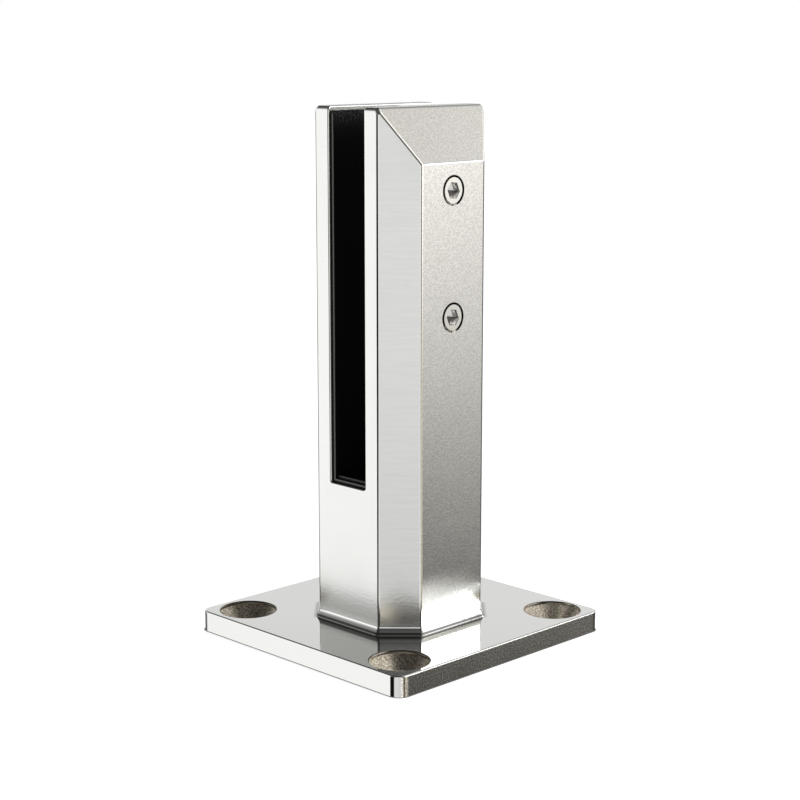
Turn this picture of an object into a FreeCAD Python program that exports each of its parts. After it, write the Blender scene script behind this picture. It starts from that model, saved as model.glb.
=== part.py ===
import FreeCAD, Part
import math
import os

# Glass spigot: a slotted eight-sided post on a square base plate, cast in one piece.
# Two set screws in one jaw push a padded plate against the edge of a glass pane.
# Millimetres. Z is up, Y runs along the slot and X across it, from the fixed jaw to the
# screwed jaw. The origin is at the centre of the plate's underside.

# Base plate
plate_side = 100.0
plate_thickness = 7.1
plate_corner_radius = 4.1
plate_edge_radius = 0.5
bolt_spacing = 76.0
bolt_hole_diameter = 11.0
countersink_diameter = 20.7
countersink_angle = 90.0
countersink_lip = 0.6

# Post, with a sloping shoulder above each jaw
overall_height = 183.7
post_width = 50.0
post_corner_cut = 10.2
post_edge_radius = 1.4
foot_flare_height = 2.6
foot_flare_width = 0.8
shoulder_height = 165.6
shoulder_angle = 60.0

# Slot for the glass
slot_width = 16.8
slot_floor_height = 56.3
slot_corner_radius = 0.8
slot_edge_radius = 0.5

# Rubber in the slot
liner_thickness = 1.5
liner_end_inset = 0.9
liner_top_inset = 1.6
liner_top_bevel = 1.4
block_thickness = 1.0
block_end_inset = 2.3
rubber_edge_radius = 0.3

# Padded pressure plate
pressure_plate_thickness = 2.0
pressure_pad_thickness = 1.0
pressure_end_inset = 3.5
pressure_top_inset = 6.0
pressure_corner_radius = 3.0
pressure_pad_margin = 1.0

# Set screws, M10 with a 5 mm socket and a cup point
screw_diameter = 10.0
screw_length = 16.6
screw_heights = {"lower_screw": 114.2, "upper_screw": 156.4}
screw_end_chamfer = 0.65
thread_clearance = 0.06
socket_across_flats = 5.0
socket_depth = 3.2
socket_turn = -6.0
cup_diameter = 6.0
cup_angle = 120.0

# Sizes that follow from the ones above
half_post = post_width / 2
half_slot = slot_width / 2
liner_face = liner_thickness - half_slot
block_bottom = slot_floor_height + liner_thickness
block_top = block_bottom + block_thickness

up = FreeCAD.Vector(0, 0, 1)
along_slot = FreeCAD.Vector(0, 1, 0)
across_slot = FreeCAD.Vector(1, 0, 0)


def in_plan(x, y):
    return FreeCAD.Vector(x, y, 0)


def in_front_view(x, z):
    return FreeCAD.Vector(x, 0, z)


def in_side_view(y, z):
    return FreeCAD.Vector(0, y, z)


def outline(corners, view):
    # A closed outline. A corner is its two coordinates and, where it is round, a radius.
    points = [view(*corner[:2]) for corner in corners]
    radii = [corner[2] if len(corner) > 2 else 0 for corner in corners]
    edges = []
    ends = []
    for index, corner in enumerate(points):
        back = (points[index - 1] - corner).normalize()
        ahead = (points[(index + 1) % len(points)] - corner).normalize()
        half_angle = back.getAngle(ahead) / 2
        setback = radii[index] / math.tan(half_angle)
        start = corner + back * setback
        finish = corner + ahead * setback
        if radii[index]:
            to_arc = radii[index] / math.sin(half_angle) - radii[index]
            middle = corner + (back + ahead).normalize() * to_arc
            edges.append(Part.Arc(start, middle, finish).toShape())
        ends.append((start, finish))
    for index, (start, _) in enumerate(ends):
        edges.append(Part.LineSegment(ends[index - 1][1], start).toShape())
    return Part.Wire(Part.__sortEdges__(edges))


def slab(corners, view, low, high, direction):
    # The outline's solid between two distances along a direction.
    face = Part.Face(outline(corners, view))
    face.translate(direction * low)
    return face.extrude(direction * (high - low))


def box_corners(low_first, low_second, high_first, high_second, *radius):
    low_side = [(low_first, low_second), (high_first, low_second)]
    high_side = [(high_first, high_second), (low_first, high_second)]
    return [corner + radius for corner in low_side + high_side]


def edges_where(shape, test):
    # The edges whose middle and ends all pass the test.
    chosen = []
    for edge in shape.Edges:
        middle = edge.valueAt((edge.FirstParameter + edge.LastParameter) / 2)
        if all(test(point) for point in [middle] + [vertex.Point for vertex in edge.Vertexes]):
            chosen.append(edge)
    return chosen


def same(value, target):
    return abs(value - target) < 1e-4


def soften(solid, radius):
    # Rounds every edge of a convex solid: its faces move in, and come out again with arcs between them.
    tolerance = 1e-3
    sharp_joins = 2
    core = solid.makeOffsetShape(-radius, tolerance, join=sharp_joins)
    return core.makeOffsetShape(radius, tolerance)


def base_plate():
    half = plate_side / 2
    plate = slab(box_corners(-half, -half, half, half, plate_corner_radius), in_plan, 0, plate_thickness, up)
    rim = edges_where(plate, lambda point: same(point.z, plate_thickness))
    return plate.makeFillet(plate_edge_radius, rim)


def post_block():
    # The post before its slot: the eight-sided plan and the front view with its shoulders, in common.
    root = plate_thickness / 2
    flat = half_post - post_corner_cut
    ridge = half_post - (overall_height - shoulder_height) / math.tan(math.radians(shoulder_angle))
    plan = [
        (half_post, -flat), (half_post, flat), (flat, half_post), (-flat, half_post),
        (-half_post, flat), (-half_post, -flat), (-flat, -half_post), (flat, -half_post),
    ]
    front = [
        (half_post, root), (half_post, shoulder_height), (ridge, overall_height),
        (-ridge, overall_height), (-half_post, shoulder_height), (-half_post, root),
    ]
    column = slab(plan, in_plan, root, overall_height, up)
    shoulders = slab(front, in_front_view, -half_post, half_post, along_slot)
    return soften(column.common(shoulders).Solids[0], post_edge_radius)


def slot_floor_corners():
    return [(side, slot_floor_height, slot_corner_radius) for side in (-half_slot, half_slot)]


def post():
    above = overall_height + slot_width
    section = slot_floor_corners() + [(half_slot, above), (-half_slot, above)]
    slot = slab(section, in_front_view, -post_width, post_width, along_slot)
    slotted = post_block().cut(slot)
    rounded_top = overall_height - post_edge_radius

    def on_slot_mouth(point):
        in_slot = abs(point.x) < half_slot or same(abs(point.x), half_slot)
        return in_slot and (same(abs(point.y), half_post) or point.z > rounded_top)

    return slotted.makeFillet(slot_edge_radius, edges_where(slotted, on_slot_mouth))


def footed_post():
    # The post on a ledge that is hidden in the plate. A cove on the ledge has its upper part
    # above the plate, where it makes the flare at the post's foot.
    radius = (foot_flare_height ** 2 + foot_flare_width ** 2) / (2 * foot_flare_width)
    ledge_top = plate_thickness + foot_flare_height - radius
    reach = half_post + radius
    clear = reach + radius
    ledge = slab(box_corners(-clear, -clear, clear, clear), in_plan, plate_thickness / 2, ledge_top, up)
    body = post().fuse(ledge).removeSplitter()

    def at_foot(point):
        return same(point.z, ledge_top) and abs(point.x) < reach and abs(point.y) < reach

    return body.makeFillet(radius, edges_where(body, at_foot))


def countersunk_hole(x, y):
    bolt_radius = bolt_hole_diameter / 2
    sink_radius = countersink_diameter / 2
    cone_depth = (sink_radius - bolt_radius) / math.tan(math.radians(countersink_angle / 2))
    cone_top = plate_thickness - countersink_lip
    below = -plate_thickness
    above = 2 * plate_thickness
    profile = [
        (0, below), (bolt_radius, below), (bolt_radius, cone_top - cone_depth),
        (sink_radius, cone_top), (sink_radius, above), (0, above),
    ]
    hole = Part.Face(outline(profile, in_front_view)).revolve(FreeCAD.Vector(), up, 360)
    hole.translate(in_plan(x, y))
    return hole


def tapped_hole(height):
    radius = screw_diameter / 2 + thread_clearance
    return Part.makeCylinder(radius, half_post, FreeCAD.Vector(half_slot / 2, 0, height), across_slot)


def spigot_body():
    body = base_plate().fuse(footed_post()).removeSplitter()
    corner = bolt_spacing / 2
    holes = [countersunk_hole(x, y) for x in (-corner, corner) for y in (-corner, corner)]
    holes += [tapped_hole(height) for height in screw_heights.values()]
    return body.cut(holes)


def slot_liner():
    # A leg up the fixed jaw and a floor across the slot, with the leg's top cut to a slope.
    leg_top = overall_height - liner_top_inset
    section = slot_floor_corners() + [
        (half_slot, block_bottom), (liner_face, block_bottom),
        (liner_face, leg_top - liner_top_bevel), (-half_slot, leg_top),
    ]
    end = half_post - liner_end_inset
    liner = slab(section, in_front_view, -end, end, along_slot)

    def on_inner_rim(point):
        inside = point.x > liner_face or same(point.x, liner_face)
        above = point.z > block_bottom or same(point.z, block_bottom)
        return same(abs(point.y), end) and inside and above

    return liner.makeFillet(rubber_edge_radius, edges_where(liner, on_inner_rim))


def setting_block():
    end = half_post - block_end_inset
    block = slab(box_corners(liner_face, -end, half_slot, end), in_plan, block_bottom, block_top, up)
    return block.makeFillet(rubber_edge_radius, edges_where(block, lambda point: same(point.z, block_top)))


def pressure_layer(margin, front, back):
    # A round-cornered layer of the clamp, standing on the setting block.
    end = half_post - pressure_end_inset - margin
    low = block_top + margin
    high = overall_height - pressure_top_inset - margin
    corners = box_corners(-end, low, end, high, pressure_corner_radius)
    return slab(corners, in_side_view, front, back, across_slot)


def pressure_plate():
    return pressure_layer(0, half_slot - pressure_plate_thickness, half_slot)


def pressure_pad():
    back = half_slot - pressure_plate_thickness
    front = back - pressure_pad_thickness
    pad = pressure_layer(pressure_pad_margin, front, back)
    return pad.makeFillet(rubber_edge_radius, edges_where(pad, lambda point: same(point.x, front)))


def hexagon():
    radius = socket_across_flats / math.sqrt(3)
    angles = [math.radians(socket_turn + 60 * side) for side in range(6)]
    return [(radius * math.cos(angle), radius * math.sin(angle)) for angle in angles]


def set_screw(height):
    # A cup point bears on the pressure plate, and the socket end is level with the jaw's face.
    radius = screw_diameter / 2
    end_radius = radius - screw_end_chamfer
    cup_radius = cup_diameter / 2
    cup_depth = cup_radius / math.tan(math.radians(cup_angle / 2))
    point = half_slot
    end = half_slot + screw_length
    profile = [
        (point + cup_depth, 0), (point, cup_radius), (point, end_radius), (point + screw_end_chamfer, radius),
        (end - screw_end_chamfer, radius), (end, end_radius), (end, 0),
    ]
    screw = Part.Face(outline(profile, in_front_view)).revolve(FreeCAD.Vector(), across_slot, 360)
    screw = screw.cut(slab(hexagon(), in_side_view, end - socket_depth, end + socket_depth, across_slot))
    screw.translate(up * height)
    return screw


def export(name, shape):
    solids = shape.Solids
    assert shape.isValid() and len(solids) == 1, name
    solids[0].exportStep("parts/" + name + ".step")


os.makedirs("parts", exist_ok=True)
export("spigot_body", spigot_body())
export("slot_liner", slot_liner())
export("setting_block", setting_block())
export("pressure_plate", pressure_plate())
export("pressure_pad", pressure_pad())
for screw_name, screw_height in screw_heights.items():
    export(screw_name, set_screw(screw_height))
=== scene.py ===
import math

import bmesh
import bpy
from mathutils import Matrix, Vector


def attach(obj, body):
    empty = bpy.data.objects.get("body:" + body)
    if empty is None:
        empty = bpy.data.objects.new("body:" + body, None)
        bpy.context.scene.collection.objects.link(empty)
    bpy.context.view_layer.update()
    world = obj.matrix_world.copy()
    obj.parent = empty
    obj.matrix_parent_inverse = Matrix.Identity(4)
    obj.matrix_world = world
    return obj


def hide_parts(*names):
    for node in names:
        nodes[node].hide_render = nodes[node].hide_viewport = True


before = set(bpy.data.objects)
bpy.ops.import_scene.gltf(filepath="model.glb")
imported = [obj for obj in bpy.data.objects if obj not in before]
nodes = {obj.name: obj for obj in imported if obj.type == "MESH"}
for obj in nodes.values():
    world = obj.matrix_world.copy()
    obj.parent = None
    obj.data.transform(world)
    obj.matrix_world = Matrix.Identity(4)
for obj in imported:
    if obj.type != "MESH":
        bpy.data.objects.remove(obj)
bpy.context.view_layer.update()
scene = bpy.context.scene
print("frame loaded:", ", ".join(sorted(nodes)))


class Wire:  # a socket that takes part in Python sums
    def __init__(self, tree, socket=None):
        self.tree = tree
        self.socket = socket

    def node(self, kind, settings=None, sockets=None, out=0):
        made = self.tree.nodes.new("ShaderNode" + kind)
        for name, value in (settings or {}).items():
            if name == "stops":
                setStops(made.color_ramp, value)
            else:
                setattr(made, name, value)
        for name, value in (sockets or {}).items():
            if isinstance(value, Wire):
                self.tree.links.new(value.socket, made.inputs[name])
            else:
                made.inputs[name].default_value = value
        return Wire(self.tree, made.outputs[out] if made.outputs else None)

    def maths(self, operation, *values):
        return self.node("Math", {"operation": operation}, dict(enumerate(values)))

    def __add__(self, other):
        return self.maths("ADD", self, other)

    def __radd__(self, other):
        return self.maths("ADD", other, self)

    def __sub__(self, other):
        return self.maths("SUBTRACT", self, other)

    def __rsub__(self, other):
        return self.maths("SUBTRACT", other, self)

    def __mul__(self, other):
        return self.maths("MULTIPLY", self, other)

    def __rmul__(self, other):
        return self.maths("MULTIPLY", other, self)

    def __pow__(self, other):
        return self.maths("POWER", self, other)

    def __rpow__(self, other):
        return self.maths("POWER", other, self)

    def __abs__(self):
        return self.maths("ABSOLUTE", self)


def setStops(ramp, stops):
    while len(ramp.elements) > 1:
        ramp.elements.remove(ramp.elements[-1])
    for index, (place, colour) in enumerate(stops):
        stop = ramp.elements.new(place) if index else ramp.elements[0]
        stop.position = place
        stop.color = (*colour, 1.0)


def fade(value, low, high, kind="SMOOTHSTEP"):  # 0 at low, 1 at high; low may be the larger
    ends = {"Value": value, "From Min": low, "From Max": high}
    return value.node("MapRange", {"interpolation_type": kind}, ends)


def between(value, start, full, last, end):  # 1 from full to last, 0 outside start and end
    return fade(value, start, full) * fade(value, end, last)


def toward(value, mask, target):  # moves a number to the target where the mask is 1
    return value + mask * (target - value)


def largest(first, *others):
    for other in others:
        first = first.maths("MAXIMUM", first, other)
    return first


def distance(first, second):  # the length of two steps at right angles
    return (first * first + second * second) ** 0.5


def mixColour(mask, first, second):
    sockets = {"Factor": mask, 6: first, 7: second}
    return mask.node("Mix", {"data_type": "RGBA"}, sockets, 2)


def split(vector):
    return [vector.node("SeparateXYZ", None, {0: vector}, axis) for axis in range(3)]


def noise(place, stretch, scale, detail=2.0):  # stretch squeezes the noise along each axis
    spread = place.node("VectorMath", {"operation": "MULTIPLY"}, {0: place, 1: stretch})
    return place.node("TexNoise", None, {"Vector": spread, "Scale": scale, "Detail": detail})


def startMaterial(name):  # with the place on the part in millimetres
    material = bpy.data.materials.new(name)
    material.use_nodes = True
    material.node_tree.nodes.clear()
    board = Wire(material.node_tree)
    metres = board.node("TexCoord", out="Object")
    place = board.node("VectorMath", {"operation": "SCALE"}, {0: metres, "Scale": 1000.0})
    return material, board, place


def facingOf(board):  # the way that the surface faces, along x, y and z
    return split(board.node("TexCoord", out="Normal"))


def endMaterial(board, sockets, height, bumpDepth):
    bump = board.node("Bump", None, {"Height": height, "Distance": bumpDepth})
    surface = board.node("BsdfPrincipled", None, {**sockets, "Normal": bump})
    board.node("OutputMaterial", None, {"Surface": surface})


def addPiece(name, mesh, material):
    mesh.materials.append(material)
    piece = bpy.data.objects.new(name, mesh)
    scene.collection.objects.link(piece)
    return piece


# camera, fitted to the plate's corners and the post's edges
cameraSet = {
    "eye": (0.44186, -0.43813, 0.206205),
    "azimuth": 45.2488,
    "elevation": 11.2262,
    "focalPixels": 1834.555,
    "imagePixels": 800,
    "sensor": 36.0,
}


def makeCamera(values):
    data = bpy.data.cameras.new("camera")
    data.sensor_width = values["sensor"]
    data.lens = values["focalPixels"] / values["imagePixels"] * values["sensor"]
    camera = bpy.data.objects.new("camera", data)
    turn = math.radians(values["azimuth"])
    rise = math.radians(values["elevation"])
    back = Vector((math.sin(turn) * math.cos(rise), -math.cos(turn) * math.cos(rise), math.sin(rise)))
    camera.location = values["eye"]
    camera.rotation_euler = (-back).to_track_quat("-Z", "Y").to_euler()
    scene.collection.objects.link(camera)
    scene.camera = camera


makeCamera(cameraSet)
scene.view_settings.view_transform = "Standard"
print("camera set")


def lowPanels(front):  # two bands near the floor, alike but for the panel in front
    return [
        (-180, 80), (-118, 80), (-109, 225), (-96, 242), (-87, 250), (-83, 2), (-50, 2), (-45, 212),
        (-10, 214), (-4, front), (3, front), (14, 214), (20, 255), (32, 255), (38, 150), (46, 95),
        (52, 110), (57, 205), (72, 205), (79, 120), (84, 75), (90, 49), (96, 76), (102, 99),
        (112, 88), (125, 70), (180, 90),
    ]


# studio: panels and dark gaps round the part, as grey levels by bearing in degrees, 0 in front,
# left negative, right positive, in bands that step up from the floor; the tints colour strips of it
studioSet = {
    "metalShare": 0.93,
    "tints": [
        {
            "strip": (36, 42, 68, 76),
            "heights": (-0.9, -0.8, -0.2, -0.12),
            "tint": (1.03, 0.92, 0.77, 1.0),
        },
        {
            "strip": (76, 84, 114, 122),
            "heights": (-0.9, -0.8, -0.32, -0.24),
            "tint": (1.03, 0.98, 0.92, 1.0),
        },
        {
            "strip": (56, 66, 112, 122),
            "heights": (0.04, 0.12, 0.34, 0.42),
            "tint": (0.95, 1.0, 1.08, 1.0),
        },
    ],
    "bands": [
        (-0.62, [(-180, 235), (66, 235), (78, 70), (112, 70), (126, 235), (180, 235)]),
        (-0.37, lowPanels(202)),
        (-0.31, lowPanels(190)),
        (-0.19, [
            (-180, 80), (-118, 80), (-109, 235), (-96, 252), (-86, 256), (-83, 2), (-36, 2), (-31, 219),
            (3, 219), (8, 245), (15, 240), (24, 95), (38, 95), (46, 250), (60, 250), (68, 155),
            (76, 168), (84, 180), (98, 182), (105, 80), (150, 80), (180, 140),
        ]),
        (-0.06, [
            (-180, 110), (-118, 110), (-109, 240), (-96, 251), (-86, 255), (-83, 2), (-38, 2), (-33, 227),
            (8, 227), (14, 232), (20, 215), (28, 85), (40, 85), (50, 240), (58, 300), (74, 300),
            (82, 264), (89, 257), (93, 243), (98, 236), (105, 110), (150, 90), (180, 150),
        ]),
        (0.10, [
            (-180, 205), (-150, 190), (-130, 215), (-108, 245), (-90, 258), (-76, 200), (-66, 40),
            (-44, 60), (-30, 170), (0, 208), (20, 200), (36, 120), (50, 190), (70, 300), (108, 300),
            (125, 225), (150, 190), (180, 205),
        ]),
        (0.16, [
            (-180, 212), (-130, 212), (-108, 215), (-92, 205), (-76, 150), (-60, 75), (-30, 80), (0, 80),
            (30, 84), (50, 160), (68, 440), (108, 440), (130, 245), (150, 205), (180, 212),
        ]),
        (0.30, [
            (-180, 214), (-130, 208), (-108, 182), (-92, 170), (-60, 90), (-30, 92), (0, 94), (30, 94),
            (50, 124), (68, 500), (108, 500), (130, 255), (150, 224), (180, 214),
        ]),
        (0.38, [
            (-180, 205), (-150, 150), (-108, 140), (-92, 125), (-60, 80), (-30, 62), (0, 56), (30, 66),
            (47, 115), (58, 330), (78, 330), (88, 205), (97, 195), (106, 216), (125, 215), (150, 200),
            (180, 205),
        ]),
        (0.51, [
            (-180, 188), (-172, 179), (-150, 89), (-100, 101), (-60, 69), (30, 69), (44, 108), (54, 276),
            (76, 276), (86, 172), (97, 168), (104, 219), (110, 227), (125, 212), (150, 182), (180, 188),
        ]),
        (0.655, [
            (-180, 124), (-160, 69), (-105, 63), (0, 75), (38, 89), (54, 266), (90, 266), (99, 218),
            (112, 209), (127, 150), (150, 144), (165, 129), (180, 124),
        ]),
        (0.86, [(-180, 69), (-90, 63), (0, 89), (60, 140), (80, 250), (110, 220), (130, 110), (180, 69)]),
        (0.98, [(-180, 56), (180, 56)]),
    ],
}


def linear(grey):  # a picture's grey level, 0 to 255, as light
    level = grey / 255
    return level / 12.92 if level < 0.04045 else ((level + 0.055) / 1.055) ** 2.4


def wholeTurn(degrees):  # a bearing as a share of the turn
    return (degrees + 180) / 360


def makeStudio(values):
    world = bpy.data.worlds.new("studio")
    world.use_nodes = True
    world.node_tree.nodes.clear()
    scene.world = world
    board = Wire(world.node_tree)
    heading = board.node("TexCoord", out="Generated")
    turn = math.radians(cameraSet["azimuth"])
    toFront = (math.sin(turn), -math.cos(turn), 0)
    toRight = (math.cos(turn), math.sin(turn), 0)
    across = board.node("VectorMath", {"operation": "DOT_PRODUCT"}, {0: heading, 1: toRight}, "Value")
    ahead = board.node("VectorMath", {"operation": "DOT_PRODUCT"}, {0: heading, 1: toFront}, "Value")
    bearing = board.maths("ARCTAN2", across, ahead) * (0.5 / math.pi) + 0.5
    rise = split(heading)[2]
    light = None
    lower = None
    for height, stops in values["bands"]:
        shades = []
        for degrees, grey in stops:
            shades.append((wholeTurn(degrees), [linear(grey) / values["metalShare"]] * 3))
        band = board.node("ValToRGB", {"stops": shades}, {"Fac": bearing})
        light = band if light is None else mixColour(fade(rise, lower, height, "LINEAR"), light, band)
        lower = height
    for tinted in values["tints"]:
        strip = [wholeTurn(degrees) for degrees in tinted["strip"]]
        within = between(bearing, *strip) * between(rise, *tinted["heights"])
        tint = mixColour(within, (1, 1, 1, 1), tinted["tint"])
        light = board.node("VectorMath", {"operation": "MULTIPLY"}, {0: light, 1: tint})
    reflected = board.node("Background", None, {"Color": light, "Strength": 1.0})
    seen = board.node("Background", None, {"Color": (1, 1, 1, 1), "Strength": 1.0})
    toEye = board.node("LightPath", out="Is Camera Ray")
    both = board.node("MixShader", None, {0: toEye, 1: reflected, 2: seen})
    board.node("OutputWorld", None, {"Surface": both})


makeStudio(studioSet)
print("studio set")

# floor: pale and plain, close to white, with a thin painted contact shadow where the plate meets it
floorSet = {
    "radius": 4.0,
    "segments": 96,
    "drop": 0.0001,
    "colour": (0.9, 0.9, 0.9, 1.0),
    "glowColour": (1.0, 1.0, 1.0, 1.0),
    "glow": 0.85,
    "contactShadow": (0.12, 0.12, 0.12, 1.0),
    "contactShadowReach": (0.9, 0.0),
    "plateHalf": 50.0,
    "plateCorner": 4.1,
    "speckNoise": ((1, 1, 1), 0.8),
    "rough": 0.85,
    "roughSpread": 0.1,
    "bumpDepth": 3e-5,
}


def makeFloor(values):
    shape = bmesh.new()
    bmesh.ops.create_circle(shape, cap_ends=True, segments=values["segments"], radius=values["radius"])
    mesh = bpy.data.meshes.new("floor")
    shape.to_mesh(mesh)
    shape.free()
    material, board, place = startMaterial("paleFloor")
    speck = noise(place, *values["speckNoise"])
    inset = values["plateHalf"] - values["plateCorner"]
    outX, outY = [largest(abs(along) - inset, 0.0) for along in split(place)[:2]]
    # painted contact shadow: the floor's colour and glow darken within 0.9 mm of the plate's outline
    contactShadow = fade(distance(outX, outY) - values["plateCorner"], *values["contactShadowReach"])
    sockets = {
        "Base Color": mixColour(contactShadow, values["colour"], values["contactShadow"]),
        "Roughness": speck * values["roughSpread"] + values["rough"],
        "Specular IOR Level": 0.0,
        "Emission Color": mixColour(contactShadow, values["glowColour"], values["contactShadow"]),
        "Emission Strength": values["glow"],
    }
    endMaterial(board, sockets, speck, values["bumpDepth"])
    floor = addPiece("floor", mesh, material)
    floor.location.z = -values["drop"]
    floor.visible_glossy = False
    floor.visible_shadow = False


makeFloor(floorSet)
print("floor made")

# post and plate: one casting, brushed along the slot faces and corners, satin on the jaw faces,
# polished on the plate, left as cast in the countersinks; sizes in millimetres
bodySet = {
    "plateTop": 7.1,
    "postStart": (0.02, 0.3),
    "shoulder": (0.866, 0.5),
    "jawFacing": (0.76, 0.84),
    "slotFacing": (0.8, 0.9),
    "sideFacing": (0.9, 0.3),
    "flatFacing": (0.994, 0.999),
    # brushed and polished steel
    "tint": (0.93, 0.935, 0.908, 1.0),
    "brushLight": (0.944, 0.949, 0.921, 1.0),
    "brushDark": (0.916, 0.921, 0.895, 1.0),
    "slotCalm": 0.6,
    "brushNoise": ((0.05, 0.05, 1.0), 4.0, 3.0),
    "brushHeight": 0.3,
    "streakNoise": ((0.07, 0.07, 1.0), 1.2, 4.0),
    "streakStops": (0.35, 0.65),
    "rippleNoise": ((0.5, 0.5, 1.0), 1.1, 4.0),
    "rippleHeights": (38, 20),
    "rippleHeight": 2.8,
    "cloudNoise": ((1, 1, 1), 0.06, 2.0),
    "cloudSpread": 0.3,
    "cloudLow": 0.85,
    "brushedRough": 0.22,
    "cornerRough": 0.18,
    "plateRough": 0.06,
    "edgeRough": 0.08,
    "anisotropy": 0.65,
    "anisotropyTurn": 0.25,
    "bumpDepth": 1e-5,
    # satin jaw faces and plate sides
    "jawTint": (0.95, 0.926, 0.86, 1.0),
    "jawDark": (0.77, 0.748, 0.69, 1.0),
    "sideDark": (0.56, 0.535, 0.48, 1.0),
    "satinNoise": ((1, 1, 1), 1.7, 2.0),
    "satinStops": (0.65, 0.35),
    "satinHeight": 2.0,
    "grainHeights": (90, 150),
    "grainSpread": 0.3,
    "grainLow": 0.7,
    "satinRough": 0.17,
    "satinFoot": 0.39,
    "footHeights": (29, 20),
    "footAlong": (13, -11),
    "sideRough": 0.17,
    "creaseShadeTint": (0.52, 0.51, 0.48, 1.0),
    "creaseSlope": (0.02, 0.08, 0.4, 0.46),
    "creaseFacing": (0.1, 0.04),
    "creaseHeights": (100, 120),
    # foot of the post: a painted contact shadow on the plate round it, a painted shade line along the
    # bottom of its skirt, and darker rounded edges at the mitres of its corners
    "postHalf": 26.37,
    "postCorner": 29.51,
    "footShadowTint": (0.36, 0.355, 0.34, 1.0),
    "footReach": (1.2, 0.0),
    "footShare": 0.6,
    "skirtDarkTint": (0.08, 0.075, 0.07, 1.0),
    "skirtDark": (0.2, 0.45, 0.9, 1.15),
    "skirtDarkShare": 0.85,
    "mitreLevel": 0.998,
    "mitreTurn": (0.0, -0.02),
    "mitreHeights": (13, 9),
    "mitreShare": 0.8,
    # countersinks
    "boltOffset": 38.0,
    "sinkRadius": 10.35,
    "sinkRound": 0.45,
    "sunkEdge": (0.05, -0.02),
    "sunkDepth": (-0.02, -0.1),
    "castEdge": (0.01, -0.02),
    "castTint": (0.88, 0.8, 0.67, 1.0),
    "castDark": (0.42, 0.36, 0.262, 1.0),
    "castNoise": ((1, 1, 1), 1.6, 3.0),
    "castStops": (0.38, 0.62),
    "castHeight": 9.0,
    "castRough": 0.36,
    "lipShadeTint": (0.16, 0.135, 0.1, 1.0),
    "lipFacing": (0.93, 0.75),
    # tapped bores, in the +X jaw alone: dark oil and painted shade on each bore's wall, left out at the
    # bottom of each rim as a painted highlight
    "boreOilAndShadeTint": (0.30, 0.28, 0.25, 1.0),
    "boreHeights": (114.2, 156.4),
    "boreRadius": 5.06,
    "boreSlant": 0.012,
    "boreEdge": (0.12, 0.06),
    "boreLitGap": (-4.8, -4.2),
    "boreSide": (0.0, 1.0),
}


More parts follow.
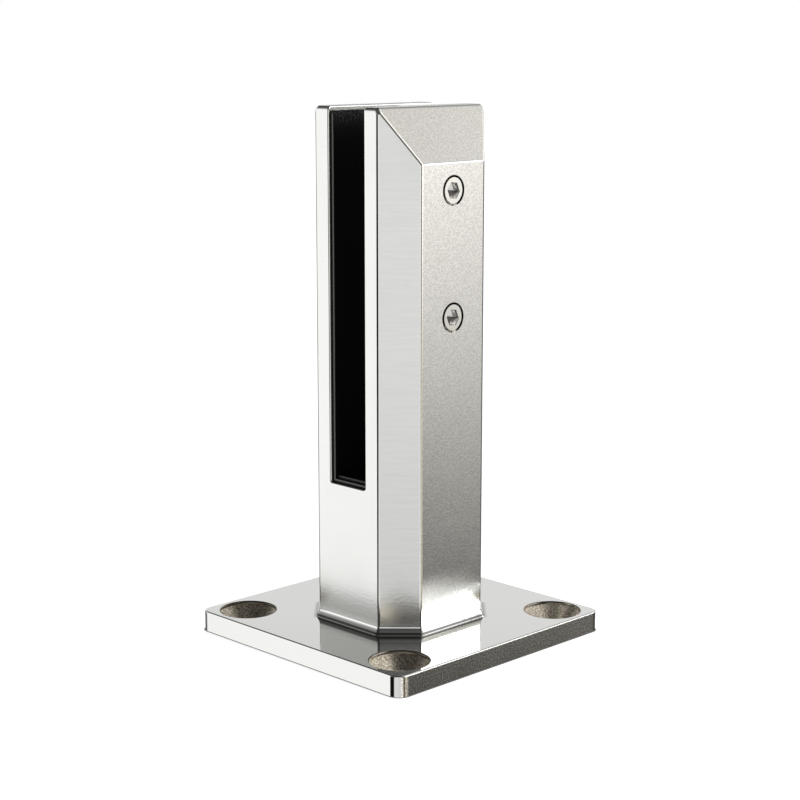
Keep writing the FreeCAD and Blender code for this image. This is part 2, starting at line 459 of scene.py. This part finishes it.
def makeBodySteel(values):
    material, board, place = startMaterial("castSteel")
    x, y, z = split(place)
    nx, ny, nz = facingOf(board)
    outX, outY = abs(x), abs(y)
    faceX, faceY, faceZ = abs(nx), abs(ny), abs(nz)
    diagonal = 0.5 ** 0.5
    high = z - values["plateTop"]
    onPost = fade(high, *values["postStart"])
    jaw = fade(faceX, *values["jawFacing"])
    slotFace = fade(faceY, *values["slotFacing"])
    side = fade(faceZ, *values["sideFacing"]) * (1 - onPost)

    # flat faces, as against the rounded edges between them
    slope = faceX * values["shoulder"][0] + nz * values["shoulder"][1]
    corner = (faceX + faceY) * diagonal
    flat = fade(largest(slope, corner, faceX, faceY, nz), *values["flatFacing"])
    brushed = onPost * flat * (1 - jaw)

    boltAway = distance(outX - values["boltOffset"], outY - values["boltOffset"])
    inner = values["sinkRadius"] - values["sinkRound"]
    sunk = fade(boltAway - values["sinkRadius"], *values["sunkEdge"]) * fade(high, *values["sunkDepth"])
    cast = sunk * fade(boltAway - inner, *values["castEdge"])
    # painted shade: the rounded lip of each countersink is darkened, which dims its highlight
    lip = sunk * (1 - cast) * fade(faceZ, *values["lipFacing"])
    # dark oil and painted shade on the wall of each tapped bore, left light at the bottom as a painted
    # highlight
    bores = []
    for height in values["boreHeights"]:
        rise = z - height
        away = distance(y, rise) + y * values["boreSlant"] - values["boreRadius"]
        bores.append(fade(away, *values["boreEdge"]) * fade(rise, *values["boreLitGap"]))
    bore = sum(bores) * fade(x, *values["boreSide"])

    footAway = largest(
        outX - values["postHalf"],
        outY - values["postHalf"],
        (outX + outY) * diagonal - values["postCorner"],
    )
    # painted contact shadow: the plate darkens within 1.2 mm of the post's foot
    foot = fade(footAway, *values["footReach"]) * (1 - onPost)
    upright = (nx * nx + ny * ny + 1e-6) ** 0.5
    turned = largest(faceX, faceY, corner) - upright * values["mitreLevel"]
    mitre = fade(turned, *values["mitreTurn"]) * fade(high, *values["mitreHeights"]) * onPost
    # painted shade line along the bottom of the skirt, 0.2 to 1.15 mm above the plate, where it meets the
    # plate; the mitre mask also darkens the rounded corner edges up to 9 to 13 mm above the plate
    skirtDark = largest(mitre * values["mitreShare"], between(high, *values["skirtDark"]))
    # painted shade: the rounded crease between the slope and the jaw faces, above 100 mm, is darkened to
    # thin its highlight
    crease = between(nz, *values["creaseSlope"]) * fade(faceY, *values["creaseFacing"])
    crease = crease * fade(z, *values["creaseHeights"])

    brush = noise(place, *values["brushNoise"])
    streaks = noise(place, *values["streakNoise"])
    ripple = noise(place, *values["rippleNoise"]) * fade(z, *values["rippleHeights"])
    satin = noise(place, *values["satinNoise"])
    coarse = noise(place, *values["castNoise"])
    cloud = noise(place, *values["cloudNoise"])

    brushSpread = toward(values["cornerRough"], slotFace, values["brushedRough"])
    nearFoot = fade(z, *values["footHeights"]) * fade(y, *values["footAlong"], "LINEAR")
    satinSpread = toward(values["satinRough"], nearFoot, values["satinFoot"])
    rough = toward(values["plateRough"], onPost, brushSpread)
    rough = toward(rough, jaw, satinSpread)
    rough = toward(rough, side, values["sideRough"])
    rough = toward(rough, 1 - flat, values["edgeRough"])
    rough = toward(rough, cast, values["castRough"])
    rough = rough * (cloud * values["cloudSpread"] + values["cloudLow"])

    grain = largest(fade(z, *values["grainHeights"]), 1 - onPost)
    speck = fade(satin, *values["satinStops"]) * (grain * values["grainSpread"] + values["grainLow"])
    streak = fade(streaks, *values["streakStops"], "LINEAR")
    brushTint = mixColour(streak, values["brushLight"], values["brushDark"])
    satinTint = mixColour(speck, values["jawTint"], values["jawDark"])
    castTint = mixColour(fade(coarse, *values["castStops"]), values["castDark"], values["castTint"])
    colour = mixColour(brushed * (1 - slotFace * values["slotCalm"]), values["tint"], brushTint)
    colour = mixColour(jaw, colour, satinTint)
    colour = mixColour(side * jaw * speck, colour, values["sideDark"])
    colour = mixColour(cast, colour, castTint)
    colour = mixColour(crease, colour, values["creaseShadeTint"])
    colour = mixColour(foot * values["footShare"], colour, values["footShadowTint"])
    colour = mixColour(skirtDark * values["skirtDarkShare"], colour, values["skirtDarkTint"])
    colour = mixColour(lip, colour, values["lipShadeTint"])
    colour = mixColour(bore, colour, values["boreOilAndShadeTint"])

    height = (brush * values["brushHeight"] + ripple * values["rippleHeight"]) * brushed
    height = height + satin * jaw * flat * values["satinHeight"] + coarse * cast * values["castHeight"]
    sockets = {
        "Base Color": colour,
        "Metallic": 1.0,
        "Roughness": rough,
        "Anisotropic": values["anisotropy"],
        "Anisotropic Rotation": values["anisotropyTurn"],
    }
    endMaterial(board, sockets, height, values["bumpDepth"])
    return material


# rubber: liner, block and pad; painted light makes their cut ends, facing ±Y, paler, but a painted shadow
# line keeps them black next to the metal; speckled dust and painted light lighten the top of the slot
rubberSet = {
    "tint": (0.002, 0.002, 0.002, 1.0),
    "cutLightTint": (0.13, 0.13, 0.127, 1.0),
    "cutFacing": (0.9, 0.98),
    "cutShadowLine": (0.6, 0.7),
    "wall": -8.4,
    "floor": 56.3,
    "dustAndLightTint": (0.07, 0.07, 0.065, 1.0),
    "dustNoise": ((1, 1, 1), 1.6, 4.0),
    "dustStops": (0.54, 0.64),
    "topLightHeights": (176.0, 182.0),
    "fineNoise": ((1, 1, 1), 3.0, 3.0),
    "rough": 0.35,
    "roughSpread": 0.3,
    "gloss": 0.1,
    "bumpDepth": 3e-5,
}


def makeRubber(values):
    material, board, place = startMaterial("blackRubber")
    x, _, z = split(place)
    faceY = abs(facingOf(board)[1])
    fine = noise(place, *values["fineNoise"])
    # speckled dust, and painted light from above, lighten the rubber towards the top of the slot
    dustAndLight = fade(noise(place, *values["dustNoise"]), *values["dustStops"]) * fade(z, *values["topLightHeights"])
    # painted light: faces towards ±Y, the cut ends, are paler; painted shadow: they stay black within 0.6
    # to 0.7 mm of the metal
    skin = board.maths("MINIMUM", x - values["wall"], z - values["floor"])  # depth from the metal
    cut = fade(faceY, *values["cutFacing"]) * fade(skin, *values["cutShadowLine"])
    colour = mixColour(dustAndLight, values["tint"], values["dustAndLightTint"])
    colour = mixColour(cut, colour, values["cutLightTint"])
    rough = fine * values["roughSpread"] + values["rough"]
    sockets = {"Base Color": colour, "Roughness": rough, "Specular IOR Level": values["gloss"]}
    endMaterial(board, sockets, fine, values["bumpDepth"])
    return material


# clamp plate: plain rolled steel
rolledSet = {
    "tint": (0.62, 0.61, 0.59, 1.0),
    "rollNoise": ((1, 1, 0.06), 2.5, 3.0),
    "rough": 0.23,
    "roughSpread": 0.25,
    "bumpDepth": 1e-5,
}


def makeRolledSteel(values):
    material, board, place = startMaterial("rolledSteel")
    roll = noise(place, *values["rollNoise"])
    rough = roll * values["roughSpread"] + values["rough"]
    sockets = {"Base Color": values["tint"], "Metallic": 1.0, "Roughness": rough}
    endMaterial(board, sockets, roll, values["bumpDepth"])
    return material


def dress(name, material):
    mesh = nodes[name].data
    mesh.materials.clear()
    mesh.materials.append(material)


castSteel = makeBodySteel(bodySet)
dress("spigot_body", castSteel)
blackRubber = makeRubber(rubberSet)
for rubberNode in ("slot_liner", "setting_block", "pressure_pad"):
    dress(rubberNode, blackRubber)
dress("pressure_plate", makeRolledSteel(rolledSet))
print("casting, rubber and clamp plate dressed")


def finishMesh(shape, name, sharpAngle):  # from millimetres, sharp at edges above an angle in degrees
    bmesh.ops.recalc_face_normals(shape, faces=shape.faces)
    bmesh.ops.scale(shape, vec=(1e-3, 1e-3, 1e-3), verts=shape.verts)
    for face in shape.faces:
        face.smooth = True
    for edge in shape.edges:
        edge.smooth = edge.calc_face_angle(0) < math.radians(sharpAngle)
    mesh = bpy.data.meshes.new(name)
    shape.to_mesh(mesh)
    shape.free()
    return mesh


def bridge(shape, first, second):  # faces between two closed rings of points
    for index, point in enumerate(first):
        after = (index + 1) % len(first)
        shape.faces.new((point, first[after], second[after], second[index]))


def bridgeAll(shape, rings):  # a closed skin through rings in turn, the last to the first
    for first, second in zip(rings, rings[1:] + rings[:1]):
        bridge(shape, first, second)


# skirt: the soft flare that runs the post into the plate, in millimetres
skirtSet = {
    "postHalf": 25.0,
    "cornerCut": 10.2,
    "edgeRadius": 1.4,
    "plateTop": 7.1,
    "height": 4.8,
    "bevel": 0.62,
    "bend": 2.25,
    "bendSpan": 0.6,
    "cover": 0.004,
    "sunk": 0.4,
    "rows": 20,
    "arcSteps": 6,
    "edgeStrip": 0.4,
    "sharpAngle": 25.0,
}


def skirtPlan(values, offset):  # the post's rounded plan, moved out by an offset
    radius = values["edgeRadius"]
    strip = values["edgeStrip"]
    steps = values["arcSteps"]
    straight = values["postHalf"] - radius
    corner = (2 * values["postHalf"] - values["cornerCut"]) * 0.5 ** 0.5 - radius
    eighth = math.pi / 4
    points = []
    for side in range(8):
        start = side * eighth
        end = start + eighth
        first, second = (corner, straight) if side % 2 else (straight, corner)
        centreX = (first * math.sin(end) - second * math.sin(start)) / math.sin(eighth)
        centreY = (second * math.cos(start) - first * math.cos(end)) / math.sin(eighth)
        arc = [(start + eighth * step / steps, 0) for step in range(steps + 1)]
        for angle, along in [(start, -strip)] + arc + [(end, strip)]:
            x = centreX + (radius + offset) * math.cos(angle) - along * math.sin(angle)
            y = centreY + (radius + offset) * math.sin(angle) + along * math.cos(angle)
            points.append((x, y))
    return points


def skirtReach(values, rise):  # a bevel that bends into the upright face
    above = rise - values["bend"]
    return values["bevel"] / 2 * (math.hypot(above, values["bendSpan"]) - above)


def makeSkirt(values, material):
    shape = bmesh.new()
    top = values["height"]
    levels = [(top, -values["sunk"])]
    for row in range(values["rows"] + 1):
        rise = top * (1 - row / values["rows"])
        levels.append((rise, values["cover"] + skirtReach(values, rise) - skirtReach(values, top)))
    levels += [(-values["sunk"], levels[-1][1]), (-values["sunk"], -values["sunk"])]
    rings = []
    for rise, offset in levels:
        plan = skirtPlan(values, offset)
        rings.append([shape.verts.new((x, y, values["plateTop"] + rise)) for x, y in plan])
    bridgeAll(shape, rings)
    skirt = addPiece("foot_skirt", finishMesh(shape, "skirt", values["sharpAngle"]), material)
    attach(skirt, "base")


makeSkirt(skirtSet, castSteel)
print("skirt made")

# rims: the rounded edge of each countersink, in millimetres
rimSet = {
    "boltOffset": 38.0,
    "sinkRadius": 10.35,
    "plateTop": 7.1,
    "round": 0.45,
    "strip": 0.1,
    "cover": 0.004,
    "depth": 1.2,
    "arcSteps": 6,
    "columns": 96,
    "sharpAngle": 40.0,
}


def rimProfile(values):  # reach from the hole's middle and rise from the plate's top
    radius = values["sinkRadius"]
    outer = radius + values["strip"]
    profile = [(outer, -values["depth"]), (outer, values["cover"]), (radius, values["cover"])]
    for step in range(1, values["arcSteps"] + 1):
        angle = math.pi / 2 * step / values["arcSteps"]
        drop = values["round"] * (1 - math.cos(angle))
        profile.append((radius - values["round"] * math.sin(angle), values["cover"] - drop))
    profile.append((radius - values["round"], -values["depth"]))
    return profile


def makeRims(values, material):
    angles = [2 * math.pi * column / values["columns"] for column in range(values["columns"])]
    profile = rimProfile(values)
    shape = bmesh.new()
    for signX, signY in ((-1, -1), (1, -1), (1, 1), (-1, 1)):
        rings = []
        for reach, rise in profile:
            ring = []
            for angle in angles:
                x = signX * values["boltOffset"] + reach * math.cos(angle)
                y = signY * values["boltOffset"] + reach * math.sin(angle)
                ring.append(shape.verts.new((x, y, values["plateTop"] + rise)))
            rings.append(ring)
        bridgeAll(shape, rings)
    rims = addPiece("sink_rims", finishMesh(shape, "rims", values["sharpAngle"]), material)
    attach(rims, "base")


makeRims(rimSet, castSteel)
print("rims made")

# set screws: cut thread, socket and cup point, in millimetres, with dark oil and painted shade in the end
# of the thread, reaching further in on the -Y side, and left light at the bottom as a painted highlight
screwSet = {
    "heights": {"upper_screw": 156.4, "lower_screw": 114.2},
    "point": 8.4,
    "length": 16.6,
    "crest": 5.0,
    "root": 4.08,
    "pitch": 1.5,
    "threadForm": [
        (0.0, 0.0), (0.167, 0.0), (0.344, 0.5), (0.521, 1.0), (0.646, 1.0), (0.823, 0.5), (1.0, 0.0),
    ],
    "endRadius": 4.35,
    "acrossFlats": 5.0,
    "mouth": 0.15,
    "socketDepth": 2.8,
    "socketCone": 1.75,
    "socketTurn": -6.0,
    "cupRadius": 3.0,
    "cupDepth": 1.73,
    "columns": 96,
    "weld": 1e-4,
    "sharpAngle": 25.0,
    "tint": (0.955, 0.93, 0.845, 1.0),
    "oilAndShadeTint": (0.02, 0.018, 0.016, 1.0),
    "oilShadeSlant": 0.05,
    "oilEdge": (-0.02, 0.06),
    "litBottomGap": (-4.5, -4.1),
    "socketTint": (0.72, 0.705, 0.69, 1.0),
    "socketEdge": (-0.005, -0.04),
    "socketReach": (3.3, 3.2),
    "turnedNoise": ((1, 1, 1), 1.8, 3.0),
    "rough": 0.11,
    "roughSpread": 0.14,
    "bumpDepth": 6e-6,
}


def threadRadius(values, phase):
    form = values["threadForm"]
    for (start, low), (end, high) in zip(form, form[1:]):
        if start <= phase <= end:
            share = low + (high - low) * (phase - start) / (end - start)
            return values["root"] + (values["crest"] - values["root"]) * share
    return values["root"]


def screwMesh(values, height):
    point = values["point"]
    end = point + values["length"]
    columns = values["columns"]
    startAngle = math.radians(values["socketTurn"])
    shape = bmesh.new()

    def place(along, radius, column):
        angle = startAngle + 2 * math.pi * column / columns
        return shape.verts.new((along, radius * math.cos(angle), height + radius * math.sin(angle)))

    def ring(along, radiusAt):
        return [place(along, radiusAt(column), column) for column in range(columns)]

    def threadAt(along, column):
        phase = ((along - point) / values["pitch"] - column / columns) % 1.0
        bevel = values["endRadius"] + min(along - point, end - along)
        return min(threadRadius(values, phase), bevel)

    def hexAt(column, grow):
        angle = (2 * math.pi * column / columns) % (math.pi / 3) - math.pi / 6
        return (values["acrossFlats"] / 2 + grow) / math.cos(angle)

    steps = [start for start, _ in values["threadForm"][:-1]]
    turns = int(values["length"] / values["pitch"]) + 2
    lines = []
    for turnCount in range(-1, turns):
        for step in steps:
            line = []
            for column in range(columns + 1):
                along = point + values["pitch"] * (turnCount + step + column / columns)
                along = min(max(along, point), end)
                line.append(place(along, threadAt(along, column), column))
            lines.append(line)
    for lower, upper in zip(lines, lines[1:]):
        for column in range(columns):
            shape.faces.new((lower[column], lower[column + 1], upper[column + 1], upper[column]))

    rim = ring(end, lambda column: threadAt(end, column))
    mouth = ring(end, lambda column: hexAt(column, values["mouth"]))
    wallTop = ring(end - values["mouth"], lambda column: hexAt(column, 0))
    wallFoot = ring(end - values["socketDepth"], lambda column: hexAt(column, 0))
    for outer, inner in zip((rim, mouth, wallTop), (mouth, wallTop, wallFoot)):
        bridge(shape, outer, inner)
    floor = shape.verts.new((end - values["socketDepth"] - values["socketCone"], 0, height))
    tip = ring(point, lambda column: threadAt(point, column))
    cup = ring(point, lambda column: values["cupRadius"])
    bridge(shape, tip, cup)
    pit = shape.verts.new((point + values["cupDepth"], 0, height))
    for column in range(columns):
        after = (column + 1) % columns
        shape.faces.new((wallFoot[column], wallFoot[after], floor))
        shape.faces.new((cup[column], cup[after], pit))

    bmesh.ops.remove_doubles(shape, verts=shape.verts, dist=values["weld"])
    bmesh.ops.dissolve_degenerate(shape, edges=shape.edges, dist=values["weld"])
    return finishMesh(shape, "screw", values["sharpAngle"])


def makeScrewSteel(values, height):
    material, board, place = startMaterial("turnedSteel")
    x, y, z = split(place)
    rise = z - height
    away = distance(y, rise)
    # dark oil and painted shade on the thread beyond the end face, reaching further in on the -Y side,
    # left light at the bottom as a painted highlight
    outside = away - y * values["oilShadeSlant"] - values["endRadius"]
    oilAndShade = fade(outside, *values["oilEdge"]) * fade(rise, *values["litBottomGap"])
    end = values["point"] + values["length"]
    socket = fade(x - end, *values["socketEdge"]) * fade(away, *values["socketReach"])
    turned = noise(place, *values["turnedNoise"])
    colour = mixColour(oilAndShade, values["tint"], values["oilAndShadeTint"])
    colour = mixColour(socket, colour, values["socketTint"])
    rough = turned * values["roughSpread"] + values["rough"]
    sockets = {"Base Color": colour, "Metallic": 1.0, "Roughness": rough}
    endMaterial(board, sockets, turned, values["bumpDepth"])
    return material


def makeScrews(values):
    for name, height in values["heights"].items():
        screw = addPiece(name + "_threaded", screwMesh(values, height), makeScrewSteel(values, height))
        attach(screw, name)
        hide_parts(name)


makeScrews(screwSet)
print("screws cut")
